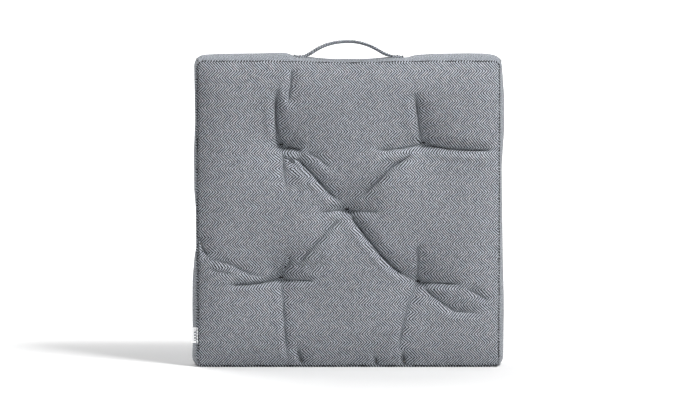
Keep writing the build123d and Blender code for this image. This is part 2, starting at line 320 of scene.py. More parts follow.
class Cover:
    """The grid of the whole cover: its points, the flat pattern they are cut from, and each face's panel."""

    def __init__(self):
        self.points = []
        self.flat = []
        self.faces = []
        self.panels = []
        self.uvs = []
        self.hold = []
        self.seam_distance = []
        self.face_of = []
        self.build()

    def build(self):
        """Lays out the two faces and the boxing between them, all sewn edge to edge."""
        xs = grid_lines(HALF_X)
        zs = grid_lines(HALF_Z)
        columns, rows = len(xs), len(zs)
        grid_x, grid_z = (a.ravel() for a in np.meshgrid(xs, zs, indexing="ij"))
        count = columns * rows
        number = np.arange(count).reshape(columns, rows)

        # the two faces
        for side, creases in ((-1, FRONT_CREASES), (1, BACK_CREASES)):
            x, z = round_off(grid_x, grid_z)
            rise = CROWN * border_rise(HALF_X - np.abs(grid_x)) * border_rise(HALF_Z - np.abs(grid_z))
            share = np.clip(rise / CROWN, 0, 1)
            crease, crease_hold, _, _ = crease_field(x, z, creases)
            tuft, tuft_hold = tuft_field(x, z)
            rise = rise - share * (0.35 * crease + tuft)
            y = side * np.maximum(SEAM_Y + rise, TUFT_FLOOR)
            self.points.append(np.stack([x, y, z], axis=1))
            self.flat.append(np.stack([grid_x, np.full(count, side * SEAM_Y), grid_z], axis=1))
            border = (np.abs(grid_x) > HALF_X - 0.5 * MM) | (np.abs(grid_z) > HALF_Z - 0.5 * MM)
            self.hold.append(np.where(border, 1.0, np.maximum(tuft_hold, 0.55 * crease_hold)))
            self.seam_distance.append(np.minimum(HALF_X - np.abs(grid_x), HALF_Z - np.abs(grid_z)))
            self.face_of.append(np.full(count, 0 if side < 0 else 1))

        # the boxing, as rings between the two seams
        loop = [(i, 0) for i in range(columns)] + [(columns - 1, j) for j in range(1, rows)]
        loop += [(i, rows - 1) for i in range(columns - 2, -1, -1)] + [(0, j) for j in range(rows - 2, 0, -1)]
        ring = np.array([number[i, j] for i, j in loop])
        edge_x, edge_z = grid_x[ring], grid_z[ring]
        seam_x, seam_z = round_off(edge_x, edge_z)
        inner_x = np.clip(seam_x, CORNER_RADIUS - HALF_X, HALF_X - CORNER_RADIUS)
        inner_z = np.clip(seam_z, CORNER_RADIUS - HALF_Z, HALF_Z - CORNER_RADIUS)
        out_x, out_z = seam_x - inner_x, seam_z - inner_z
        size = np.hypot(out_x, out_z)
        out_x, out_z = out_x / size, out_z / size
        bulge = (
            np.clip(-out_x, 0, 1) ** 2 * fullness("left", seam_z / HALF_Z)
            + np.clip(out_x, 0, 1) ** 2 * fullness("right", seam_z / HALF_Z)
            + np.clip(out_z, 0, 1) ** 2 * fullness("top", seam_x / HALF_X)
            + np.clip(-out_z, 0, 1) ** 2 * fullness("bottom", seam_x / HALF_X)
        ) * BULGE
        turns = np.linspace(-1, 1, BOXING_CELLS + 1)
        rings = [ring]
        start = 2 * count
        for turn in turns[1:-1]:
            swell = bulge * (1 - turn * turn)
            self.points.append(np.stack([seam_x + out_x * swell, np.full(len(ring), turn * SEAM_Y),
                                         seam_z + out_z * swell], axis=1))
            self.flat.append(np.stack([edge_x, np.full(len(ring), turn * SEAM_Y), edge_z], axis=1))
            self.hold.append(np.zeros(len(ring)))
            self.seam_distance.append(np.full(len(ring), (1 - abs(turn)) * SEAM_Y))
            self.face_of.append(np.full(len(ring), 2))
            rings.append(np.arange(start, start + len(ring)))
            start += len(ring)
        rings.append(ring + count)

        # faces of the two faces of the cushion
        a, b = number[:-1, :-1].ravel(), number[1:, :-1].ravel()
        c, d = number[1:, 1:].ravel(), number[:-1, 1:].ravel()
        for quad in zip(a, b, c, d):
            self.add_face(quad, "front_panel", [(grid_x[q], grid_z[q]) for q in quad])
        for quad in zip(a, d, c, b):
            self.add_face([q + count for q in quad], "back_panel", [(-grid_x[q], grid_z[q]) for q in quad])

        # faces of the boxing
        around = len(ring)
        for p in range(around):
            q = (p + 1) % around
            mid_x, mid_z = (edge_x[p] + edge_x[q]) / 2, (edge_z[p] + edge_z[q]) / 2
            if abs(abs(mid_z) - HALF_Z) < abs(abs(mid_x) - HALF_X):
                panel = "boxing_top" if mid_z > 0 else "boxing_bottom"
                spread = (edge_x[p], edge_x[q])
            else:
                panel = "boxing_right" if mid_x > 0 else "boxing_left"
                spread = (edge_z[p], edge_z[q])
            for k in range(BOXING_CELLS):
                low, high = turns[k] * SEAM_Y, turns[k + 1] * SEAM_Y
                quad = (rings[k][q], rings[k][p], rings[k + 1][p], rings[k + 1][q])
                if "left" in panel or "right" in panel:
                    uv = [(low, spread[1]), (low, spread[0]), (high, spread[0]), (high, spread[1])]
                else:
                    uv = [(spread[1], low), (spread[0], low), (spread[0], high), (spread[1], high)]
                self.add_face(quad, panel, uv)

        self.points = np.concatenate(self.points)
        self.flat = np.concatenate(self.flat)
        self.hold = np.concatenate(self.hold)
        self.seam_distance = np.concatenate(self.seam_distance)
        self.face_of = np.concatenate(self.face_of)
        self.rings = rings
        self.edge = np.stack([edge_x, edge_z], axis=1)
        self.panels = np.array(self.panels)
        self.faces = np.array(self.faces)
        self.uvs = np.array(self.uvs)

    def corner_column(self, x_side, z_side):
        """The points from seam to seam down one corner of the boxing."""
        spot = np.argmin(np.hypot(self.edge[:, 0] - x_side * HALF_X, self.edge[:, 1] - z_side * HALF_Z))
        return np.array([ring[spot] for ring in self.rings])

    def add_face(self, quad, panel, uv):
        """Adds one cell of the grid, the panel it belongs to and its place on the cut cloth."""
        self.faces.append([int(q) for q in quad])
        self.panels.append(PANELS.index(panel))
        self.uvs.append(uv)


def mesh_object(name, points, faces):
    """A new mesh object in the scene."""
    mesh = bpy.data.meshes.new(name)
    mesh.from_pydata([tuple(p) for p in points], [], [tuple(f) for f in faces])
    mesh.update()
    thing = bpy.data.objects.new(name, mesh)
    bpy.context.scene.collection.objects.link(thing)
    return thing


def stuff(cover, pressure, surplus):
    """Lets the cloth of the cover settle over its filling, and returns the settled points."""
    start = cover.points.copy()
    start[:, 1] += 0.35 * MM * waves(start, 40 * MM, 3) * (1 - cover.hold)
    body = mesh_object("cloth_of_cover", start, cover.faces)
    body.shape_key_add(name="stuffed")
    cut = body.shape_key_add(name="cut")
    for item, place in zip(cut.data, cover.flat * (1 + surplus)):
        item.co = place
    group = body.vertex_groups.new(name="sewn")
    for index, weight in enumerate(cover.hold):
        if weight > 0.02:
            group.add([index], float(min(weight, 1.0)), "REPLACE")
    cloth = body.modifiers.new("cloth", "CLOTH")
    settings = cloth.settings
    settings.rest_shape_key = cut
    settings.vertex_group_mass = "sewn"
    settings.pin_stiffness = 2.0
    settings.quality = 6
    settings.mass = 0.15
    settings.tension_stiffness = 18
    settings.compression_stiffness = 12
    settings.shear_stiffness = 4
    settings.bending_stiffness = 0.6
    settings.tension_damping = 8
    settings.air_damping = 4
    settings.use_pressure = True
    settings.uniform_pressure_force = pressure
    settings.effector_weights.gravity = 0.0
    cloth.collision_settings.use_collision = False
    cloth.point_cache.frame_start = 1
    cloth.point_cache.frame_end = CLOTH_FRAMES
    scene = bpy.context.scene
    for step in range(1, CLOTH_FRAMES + 1):
        scene.frame_set(step)
    settled = body.evaluated_get(bpy.context.evaluated_depsgraph_get())
    points = np.empty(len(start) * 3)
    settled.data.vertices.foreach_get("co", points)
    points = points.reshape(-1, 3)
    bpy.data.objects.remove(body)
    scene.frame_set(1)
    return points


# ---------------------------------------------------------------- materials
def linear(hex_colour):
    """An sRGB hex colour as the linear colour with alpha that shaders take."""
    parts = [int(hex_colour[i:i + 2], 16) / 255 for i in (1, 3, 5)]
    return tuple(p / 12.92 if p <= 0.04045 else ((p + 0.055) / 1.055) ** 2.4 for p in parts) + (1.0,)


def new_material(name, **surface):
    """A new material, its node tree and its main shader; surface holds what is the same all over."""
    material = bpy.data.materials.new(name)
    material.use_nodes = True
    main = next(n for n in material.node_tree.nodes if n.type == "BSDF_PRINCIPLED")
    for socket, value in surface.items():
        main.inputs[socket.replace("_", " ")].default_value = value
    return material, material.node_tree, main


def add_node(tree, kind, sockets=None, **settings):
    """Adds a node with its settings; sockets holds a value, a node or an output for each input."""
    node = tree.nodes.new(kind)
    for key, value in settings.items():
        setattr(node, key, value)
    for key, value in (sockets or {}).items():
        if isinstance(value, bpy.types.Node):
            value = value.outputs[0]
        if isinstance(value, bpy.types.NodeSocket):
            tree.links.new(value, node.inputs[key])
        else:
            node.inputs[key].default_value = value
    return node


# Real yarns of such a cloth are about 0.87 mm apart, which is too fine to show: they are drawn this coarse.
YARN = 1.1 * MM
BAND_YARNS = 11  # each herringbone stripe is this many yarns wide
REPEAT_YARNS = 4  # a two-and-two twill


def herringbone(name, dark, pale):
    """Herringbone in wool-look spun polyester: matt and a little fuzzy, pale warp over near-black weft."""
    material, tree, main = new_material(name, Roughness=0.88, IOR=1.5, Sheen_Weight=0.15, Sheen_Roughness=0.5)
    main.inputs["Specular IOR Level"].default_value = 0.25
    add = partial(add_node, tree)
    uv = add("ShaderNodeUVMap", uv_map="weave")
    # the yarns never lie quite straight
    drift = add("ShaderNodeTexNoise", {"Vector": uv, "Scale": 1 / (36 * MM), "Detail": 2.0})
    centred = add("ShaderNodeVectorMath", {0: drift.outputs[1], 1: (0.5, 0.5, 0.5)}, operation="SUBTRACT")
    moved = add("ShaderNodeVectorMath", {0: centred, "Scale": 2.8 * MM}, operation="SCALE")
    place = add("ShaderNodeVectorMath", {0: uv, 1: moved}, operation="ADD")
    split = add("ShaderNodeSeparateXYZ", {0: place})
    across = add("ShaderNodeMath", {0: split.outputs[0], 1: YARN}, operation="DIVIDE")
    up = add("ShaderNodeMath", {0: split.outputs[1], 1: YARN}, operation="DIVIDE")
    warp = add("ShaderNodeMath", {0: across}, operation="FLOOR")
    weft = add("ShaderNodeMath", {0: up}, operation="FLOOR")
    # the twill turns round at every stripe
    stripes = add("ShaderNodeMath", {0: weft, 1: BAND_YARNS}, operation="DIVIDE")
    stripe = add("ShaderNodeMath", {0: stripes}, operation="FLOOR")
    odd = add("ShaderNodeMath", {0: stripe, 1: 2.0}, operation="FLOORED_MODULO")
    turn = add("ShaderNodeMath", {0: odd, 1: 2.0, 2: -1.0}, operation="MULTIPLY_ADD")
    step = add("ShaderNodeMath", {0: turn, 1: weft, 2: warp}, operation="MULTIPLY_ADD")
    step = add("ShaderNodeMath", {0: step, 1: REPEAT_YARNS}, operation="FLOORED_MODULO")
    warp_up = add("ShaderNodeMath", {0: step, 1: REPEAT_YARNS / 2 - 0.5}, operation="LESS_THAN")
    # each yarn is round: its height falls off to both sides, and the same fall-off darkens the colour towards
    # each yarn's edges as painted shade between the yarns
    off_warp = add("ShaderNodeMath", {0: across, 1: 1.0}, operation="FLOORED_MODULO")
    off_warp = add("ShaderNodeMath", {0: off_warp, 1: 0.5}, operation="SUBTRACT")
    off_weft = add("ShaderNodeMath", {0: up, 1: 1.0}, operation="FLOORED_MODULO")
    off_weft = add("ShaderNodeMath", {0: off_weft, 1: 0.5}, operation="SUBTRACT")
    round_warp = add("ShaderNodeMath", {0: off_warp, 1: off_warp}, operation="MULTIPLY")
    round_warp = add("ShaderNodeMath", {0: round_warp, 1: -3.0, 2: 1.0}, operation="MULTIPLY_ADD")
    round_weft = add("ShaderNodeMath", {0: off_weft, 1: off_weft}, operation="MULTIPLY")
    round_weft = add("ShaderNodeMath", {0: round_weft, 1: -3.0, 2: 0.85}, operation="MULTIPLY_ADD")
    yarn = add("ShaderNodeMix", {0: warp_up, 2: round_weft, 3: round_warp})
    fuzz = {"Vector": uv, "Scale": 1 / (0.6 * MM), "Detail": 3.0, "Roughness": 0.6}
    fibre = add("ShaderNodeTexNoise", fuzz)
    slub = add("ShaderNodeTexNoise", {"Vector": place, "Scale": 1 / (9 * MM), "Detail": 2.0})
    # pale yarns are melange, so every float is a little lighter or greyer; dark ones hardly differ
    crossing = add("ShaderNodeCombineXYZ", {0: warp, 1: weft})
    dye = add("ShaderNodeTexWhiteNoise", {"Vector": crossing}, noise_dimensions="2D")
    grey = add("ShaderNodeMath", {0: dye, 1: 0.5}, operation="MULTIPLY")
    grey = add("ShaderNodeMath", {0: slub, 1: 0.3, 2: grey}, operation="MULTIPLY_ADD")
    pale_side = add("ShaderNodeMix", {0: grey, 6: tuple(pale), 7: linear("#6E747E")}, data_type="RGBA")
    dark_share = add("ShaderNodeMath", {0: fibre, 1: 0.25}, operation="MULTIPLY")
    dark_side = add("ShaderNodeMix", {0: dark_share, 6: tuple(dark), 7: linear("#34363B")}, data_type="RGBA")
    sides = {0: warp_up, 6: dark_side.outputs[2], 7: pale_side.outputs[2]}
    cloth = add("ShaderNodeMix", sides, data_type="RGBA")
    # painted shade: the colour is darkened where each yarn dips towards its neighbours, the weft more than
    # the warp
    yarn_painted_shade = add("ShaderNodeMath", {0: yarn, 1: 0.5, 2: 0.5}, operation="MULTIPLY_ADD")
    cloth_with_painted_shade = add("ShaderNodeVectorMath", {0: cloth.outputs[2], "Scale": yarn_painted_shade}, operation="SCALE")
    tree.links.new(cloth_with_painted_shade.outputs[0], main.inputs["Base Color"])
    height = add("ShaderNodeMath", {0: fibre, 1: 0.35, 2: yarn}, operation="MULTIPLY_ADD")
    bump = add("ShaderNodeBump", {"Height": height, "Distance": 0.25 * MM, "Strength": 0.6})
    tree.links.new(bump.outputs[0], main.inputs["Normal"])
    return material


def sewing_thread(name, colour):
    """Spun polyester thread: matt, with a tight twist that catches light in short dashes; the colour is also
    darkened along the twist as painted shade.
    """
    material, tree, main = new_material(name, Roughness=0.72, IOR=1.5, Sheen_Weight=0.1)
    add = partial(add_node, tree)
    place = add("ShaderNodeTexCoord").outputs["Object"]
    twist = add("ShaderNodeTexWave", {"Vector": place, "Scale": 420.0, "Distortion": 2.0, "Detail": 1.0},
                bands_direction="DIAGONAL")
    spots = add("ShaderNodeTexNoise", {"Vector": place, "Scale": 1 / (3 * MM)})
    dyed = add("ShaderNodeMix", {0: spots, 6: tuple(colour), 7: linear("#2E2E33")}, data_type="RGBA")
    # painted shade: the colour is darkened towards near-black along the bands of the twist
    depth = add("ShaderNodeMath", {0: twist.outputs[1], 1: 0.5}, operation="MULTIPLY")
    tint = add("ShaderNodeMix", {0: depth, 6: dyed.outputs[2], 7: linear("#09090B")}, data_type="RGBA")
    tree.links.new(tint.outputs[2], main.inputs["Base Color"])
    bump = add("ShaderNodeBump", {"Height": twist.outputs[1], "Distance": 0.12 * MM, "Strength": 0.6})
    tree.links.new(bump.outputs[0], main.inputs["Normal"])
    return material


def pale_goods(name, colour, grain_size, roughness):
    """Undyed white goods, non-woven or loose fibre: pale, matt, with a small even grain and soft clouds."""
    material, tree, main = new_material(name, Roughness=roughness, IOR=1.48, Sheen_Weight=0.12)
    add = partial(add_node, tree)
    place = add("ShaderNodeTexCoord").outputs["Object"]
    fine = {"Vector": place, "Scale": 1 / grain_size, "Detail": 3.0, "Roughness": 0.65}
    grain = add("ShaderNodeTexNoise", fine)
    cloud = add("ShaderNodeTexNoise", {"Vector": place, "Scale": 1 / (40 * MM)})
    tint = add("ShaderNodeMix", {0: cloud, 6: tuple(colour), 7: linear("#CFCBC2")}, data_type="RGBA")
    share = add("ShaderNodeMath", {0: grain, 1: 0.35}, operation="MULTIPLY")
    grainy = add("ShaderNodeMix", {0: share, 6: tint.outputs[2], 7: linear("#A9A59C")}, data_type="RGBA")
    tree.links.new(grainy.outputs[2], main.inputs["Base Color"])
    bump = add("ShaderNodeBump", {"Height": grain, "Distance": grain_size * 0.4, "Strength": 0.6})
    tree.links.new(bump.outputs[0], main.inputs["Normal"])
    return material


def label_ribbon(name, ground, motif, reach, height):
    """Satin-woven ribbon: smooth and a little shiny, with a column of plain chevrons woven in."""
    material, tree, main = new_material(name, Roughness=0.5, IOR=1.5, Sheen_Weight=0.2)
    main.inputs["Emission Strength"].default_value = 0.35  # painted light: the ribbon glows faintly so that it stays bright in the shade
    add = partial(add_node, tree)
    uv = add("ShaderNodeUVMap", uv_map="weave")
    split = add("ShaderNodeSeparateXYZ", {0: uv})
    across, up = split.outputs[0], split.outputs[1]
    aside = add("ShaderNodeMath", {0: across, 1: reach * 0.56}, operation="SUBTRACT")
    aside = add("ShaderNodeMath", {0: aside}, operation="ABSOLUTE")
    run = add("ShaderNodeMath", {0: aside, 1: 0.9, 2: up}, operation="MULTIPLY_ADD")
    bars = add("ShaderNodeMath", {0: run, 1: 4.6 * MM}, operation="FLOORED_MODULO")
    bar = add("ShaderNodeMath", {0: bars, 1: 2.3 * MM}, operation="LESS_THAN")
    inside = add("ShaderNodeMath", {0: aside, 1: 2.7 * MM}, operation="LESS_THAN")
    from_middle = add("ShaderNodeMath", {0: up}, operation="ABSOLUTE")
    tall = add("ShaderNodeMath", {0: from_middle, 1: height * 0.36}, operation="LESS_THAN")
    mark = add("ShaderNodeMath", {0: bar, 1: inside}, operation="MULTIPLY")
    mark = add("ShaderNodeMath", {0: mark, 1: tall}, operation="MULTIPLY")
    satin = add("ShaderNodeTexWave", {"Vector": uv, "Scale": 1300.0, "Distortion": 0.4}, bands_direction="Y")
    share = add("ShaderNodeMath", {0: satin.outputs[1], 1: 0.12}, operation="MULTIPLY")
    cloth = add("ShaderNodeMix", {0: share, 6: tuple(ground), 7: linear("#B9BCC2")}, data_type="RGBA")
    woven = add("ShaderNodeMix", {0: mark, 6: cloth.outputs[2], 7: tuple(motif)}, data_type="RGBA")
    tree.links.new(woven.outputs[2], main.inputs["Base Color"])
    # painted light: the glow takes the ribbon's woven colours
    tree.links.new(woven.outputs[2], main.inputs["Emission Color"])
    raised = add("ShaderNodeMath", {0: mark, 1: 0.6, 2: satin.outputs[1]}, operation="MULTIPLY_ADD")
    bump = add("ShaderNodeBump", {"Height": raised, "Distance": 0.08 * MM, "Strength": 0.6})
    tree.links.new(bump.outputs[0], main.inputs["Normal"])
    return material


def backdrop_paper(name):
    """Matt seamless paper, lit through from behind the cushion onwards, so that it stays white."""
    material, tree, main = new_material(name, Roughness=0.9, Emission_Color=(1, 1, 1, 1))
    add = partial(add_node, tree)
    place = add("ShaderNodeTexCoord").outputs["Object"]
    cloud = add("ShaderNodeTexNoise", {"Vector": place, "Scale": 1.6})
    tint = add("ShaderNodeMix", {0: cloud, 6: linear("#F0F0F0"), 7: linear("#F4F4F4")}, data_type="RGBA")
    tree.links.new(tint.outputs[2], main.inputs["Base Color"])
    depth = add("ShaderNodeSeparateXYZ", {0: place})
    glow = add("ShaderNodeMapRange", {0: depth.outputs[1], 1: 0.12, 2: 2.0, 3: 0.0, 4: 1.0})
    tree.links.new(glow.outputs[0], main.inputs["Emission Strength"])
    return material


# ---------------------------------------------------------------- pieces of the cover
def shade_smooth(thing):
    """Shades all of a mesh as one smooth surface."""
    thing.data.polygons.foreach_set("use_smooth", [True] * len(thing.data.polygons))
    thing.data.update()


def apply_modifiers(thing):
    """Leaves the mesh as its modifiers make it."""
    changed = thing.evaluated_get(bpy.context.evaluated_depsgraph_get())
    final = bpy.data.meshes.new_from_object(changed)
    old = thing.data
    thing.modifiers.clear()
    thing.data = final
    bpy.data.meshes.remove(old)


def point_normals(points, faces):
    """The outward direction at each point of a closed grid."""
    a, b, c, d = (points[faces[:, k]] for k in range(4))
    face = np.cross(c - a, d - b)
    total = np.zeros_like(points)
    for k in range(4):
        np.add.at(total, faces[:, k], face)
    return total / np.linalg.norm(total, axis=1)[:, None]


SEAM_STITCH_RADIUS = 0.95 * MM  # stout topstitching, drawn thicker than the thread so that its dark also covers the shade of the dimple each stitch pulls in: partly painted shade
LIP = 4 * MM  # the seam allowance that turns in at every seam
LIP_GAP = 0.9 * MM  # from a panel's fold to the seam itself
CLOTH = 0.9 * MM  # thickness of the cover's cloth
CASE = 0.6 * MM  # thickness of the inner case
CASE_DEPTH = 2.2 * MM  # from the settled form in to the inner case
BATT_DEPTH = 3.6 * MM  # and in to the batts
BATT_GAP = 0.2 * MM  # between two batts


def panel_piece(name, cover, points, normals, material):
    """One panel of the cover: its cloth, turned in along all its seams, with real thickness."""
    mine = np.flatnonzero(cover.panels == PANELS.index(name))
    used, local = np.unique(cover.faces[mine], return_inverse=True)
    local = local.reshape(-1, 4)
    mesh = bmesh.new()
    weave = mesh.loops.layers.uv.new("weave")
    verts = [mesh.verts.new(points[i]) for i in used]
    for quad, uv in zip(local, cover.uvs[mine]):
        face = mesh.faces.new([verts[q] for q in quad])
        for loop, place in zip(face.loops, uv):
            loop[weave].uv = place
    mesh.verts.ensure_lookup_table()
    border = [v for v in mesh.verts if v.is_boundary]
    inward = {v: Vector(-normals[used[v.index]]) for v in border}
    home = {}
    for v in border:
        towards = Vector()
        for face in v.link_faces:
            towards += face.calc_center_median() - v.co
        towards -= inward[v] * towards.dot(inward[v])
        home[v] = towards.normalized() * LIP_GAP
    edges = [e for e in mesh.edges if e.is_boundary]
    source = {e: e.link_loops[0] for e in edges}
    lower = {v: mesh.verts.new(v.co + inward[v] * LIP + home[v]) for v in border}
    for v in border:
        v.co += home[v] * 0.5
    for edge in edges:
        loop = source[edge]
        a, b = loop.vert, loop.link_loop_next.vert
        face = mesh.faces.new((b, a, lower[a], lower[b]))
        middle = sum((each[weave].uv for each in loop.face.loops), Vector((0, 0))) / 4
        uv_a, uv_b = loop[weave].uv.copy(), loop.link_loop_next[weave].uv.copy()
        out = ((uv_a + uv_b) / 2 - middle).normalized() * LIP
        for corner, uv in zip(face.loops, (uv_b, uv_a, uv_a + out, uv_b + out)):
            corner[weave].uv = uv
    data = bpy.data.meshes.new(name)
    mesh.to_mesh(data)
    mesh.free()
    piece = bpy.data.objects.new("cover_" + name, data)
    bpy.context.scene.collection.objects.link(piece)
    smooth = piece.modifiers.new("smooth", "SUBSURF")
    smooth.levels = smooth.render_levels = 1
    smooth.uv_smooth = "PRESERVE_BOUNDARIES"
    apply_modifiers(piece)
    if name in CREASES:
        fine = np.empty(len(piece.data.vertices) * 3)
        piece.data.vertices.foreach_get("co", fine)
        fine = fine.reshape(-1, 3) - (0, 0, MIDDLE_Z)
        piece.data.vertices.foreach_set("co", (fold(fine, CREASES[name]) + (0, 0, MIDDLE_Z)).ravel())
    thick = piece.modifiers.new("thick", "SOLIDIFY")
    thick.thickness = CLOTH
    thick.offset = -1
    apply_modifiers(piece)
    piece.data.materials.clear()
    piece.data.materials.append(material)
    shade_smooth(piece)
    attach(piece, "cushion")
    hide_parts(name)
    return piece


def sunk(cover, points, normals, depth):
    """The settled form moved inwards, and further still behind the turned-in seams."""
    behind_seam = 4.5 * MM * np.exp(-((cover.seam_distance / (7 * MM)) ** 2))
    return points - normals * (depth + behind_seam)[:, None]


def inner_piece(name, points, faces, material, thickness=0.0):
    """A hidden layer under the cover, which stands for the CAD node of its name."""
    piece = mesh_object(name + "_layer", points, faces)
    loose = bmesh.new()
    loose.from_mesh(piece.data)
    bmesh.ops.delete(loose, geom=[v for v in loose.verts if not v.link_faces], context="VERTS")
    loose.to_mesh(piece.data)
    loose.free()
    if thickness:
        thick = piece.modifiers.new("thick", "SOLIDIFY")
        thick.thickness = thickness
        thick.offset = -1
        apply_modifiers(piece)
    piece.data.materials.append(material)
    shade_smooth(piece)
    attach(piece, "cushion")
    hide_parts(name)
    return piece


def batt_piece(name, points, faces, low_y, high_y, material):
    """One batt of the filling: the settled form cut square at its two depths and closed."""
    piece = mesh_object(name + "_layer", points, faces)
    work = bmesh.new()
    work.from_mesh(piece.data)
    for level, way in ((low_y, -1), (high_y, 1)):
        if level is None:
            continue
        everything = list(work.verts) + list(work.edges) + list(work.faces)
        cut = bmesh.ops.bisect_plane(work, geom=everything, plane_co=(0, level, 0), plane_no=(0, way, 0),
                                     clear_outer=True)
        edges = [e for e in cut["geom_cut"] if isinstance(e, bmesh.types.BMEdge)]
        bmesh.ops.triangle_fill(work, edges=edges, use_beauty=True)
    bmesh.ops.recalc_face_normals(work, faces=work.faces)
    work.to_mesh(piece.data)
    work.free()
    piece.data.materials.append(material)
    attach(piece, "cushion")
    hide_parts(name)
    return piece


# ---------------------------------------------------------------- sewing
def capsule(length, radius, sides=8, caps=3):
    """Points and faces of one stitch along X: a short rod with round ends, slightly bowed."""
    rings = []
    for k in range(1, 2 * caps):
        turn = pi * k / (2 * caps)
        shift = (length / 2 - radius) * (-1 if k < caps else 1 if k > caps else 0)
        rings.append((shift - radius * cos(turn), radius * sin(turn)))
    points = [(-length / 2, 0, 0)]
    for x, r in rings:
        bow = -0.35 * radius * (2 * x / length) ** 2
        points += [(x, r * cos(2 * pi * s / sides), r * sin(2 * pi * s / sides) + bow) for s in range(sides)]
    points.append((length / 2, 0, 0))
    faces = [(0, 1 + (s + 1) % sides, 1 + s) for s in range(sides)]
    for k in range(len(rings) - 1):
        base = 1 + k * sides
        for s in range(sides):
            t = (s + 1) % sides
            faces.append((base + s, base + t, base + sides + t, base + sides + s))
    last = 1 + (len(rings) - 1) * sides
    faces += [(last + s, last + (s + 1) % sides, len(points) - 1) for s in range(sides)]
    return np.array(points), faces


def stitch_piece(name, places, length, radius, material, body, *nodes):
    """Many stitches as one piece; places says where each one lies, how it runs and which way is out."""
    shape, faces = capsule(length, radius)
    all_points, all_faces = [], []
    chance = np.random.default_rng(11)
    for spot, along, out in places:
        along = along + 0.09 * np.array(chance.normal(size=3))
        out = out - along * (out @ along) / (along @ along)
        x_axis = along / np.linalg.norm(along)
        z_axis = out / np.linalg.norm(out)
        y_axis = np.cross(z_axis, x_axis)
        scale = np.array([chance.uniform(0.86, 1.1), 1, 1])
        placed = (shape * scale) @ np.stack([x_axis, y_axis, z_axis]) + spot
        all_faces += [[i + len(all_points) for i in f] for f in faces]
        all_points += list(placed)
    piece = mesh_object(name, all_points, all_faces)
    piece.data.materials.append(material)
    shade_smooth(piece)
    if body:
        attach(piece, body)
    if nodes:
        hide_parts(*nodes)
    return piece


def walk(points, pitch, closed=True):
    """Places evenly spaced along a line of points, with the way it runs at each."""
    line = np.concatenate([points, points[:1]]) if closed else points
    lengths = np.linalg.norm(np.diff(line, axis=0), axis=1)
    along = np.concatenate([[0], np.cumsum(lengths)])
    count = int(along[-1] / pitch)
    at = (np.arange(count) + 0.5) * along[-1] / count
    places = np.stack([np.interp(at, along, line[:, k]) for k in range(3)], axis=1)
    ahead = np.stack([np.interp(at + pitch * 0.3, along, line[:, k]) for k in range(3)], axis=1)
    behind = np.stack([np.interp(at - pitch * 0.3, along, line[:, k]) for k in range(3)], axis=1)
    return places, ahead - behind


def on_surface(piece, spot, way):
    """Where a ray from outside meets a piece, and the surface's direction there."""
    start = Vector(spot) - Vector(way) * 0.03
    hit, place, normal, _ = piece.ray_cast(start, Vector(way))
    if not hit:
        return None, None
    return np.array(place), np.array(normal)


# ---------------------------------------------------------------- handle
STRAP_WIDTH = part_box("handle_strap")[1].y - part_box("handle_strap")[0].y
STRAP_THICKNESS = 5.2 * MM
STRAP_EDGE = 4.2 * MM  # thickness where the two plies are stitched together
STRAP_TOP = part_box("handle_strap")[1].z
TAB_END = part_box("handle_end_right")[1].x - 3 * MM
HALF_SPAN = 79 * MM  # from the middle of the arch to where it lies flat
FLARE_RADIUS = 45 * MM  # where it bends up
ARCH_MIDDLE = -3 * MM  # the crown stands a little to the left
EDGE_ROW_INSET = 3.5 * MM  # from the strap's edge to its row of stitches
EDGE_ROW_PITCH = 4.2 * MM
BOX_ROW_PITCH = 3.4 * MM


def arch_height(x, rise):
    """Height of the strap's middle over its ends: two flares and a crown, each an arc."""
    crown_radius = (HALF_SPAN**2 + rise**2 - 2 * rise * FLARE_RADIUS) / (2 * rise)
    turn = atan2(HALF_SPAN, crown_radius + FLARE_RADIUS - rise)
    x = abs(x)
    if x >= HALF_SPAN:
        return 0.0
    if x > HALF_SPAN - FLARE_RADIUS * sin(turn):
        return FLARE_RADIUS - (FLARE_RADIUS**2 - (HALF_SPAN - x) ** 2) ** 0.5
    return rise - crown_radius + (crown_radius**2 - x * x) ** 0.5


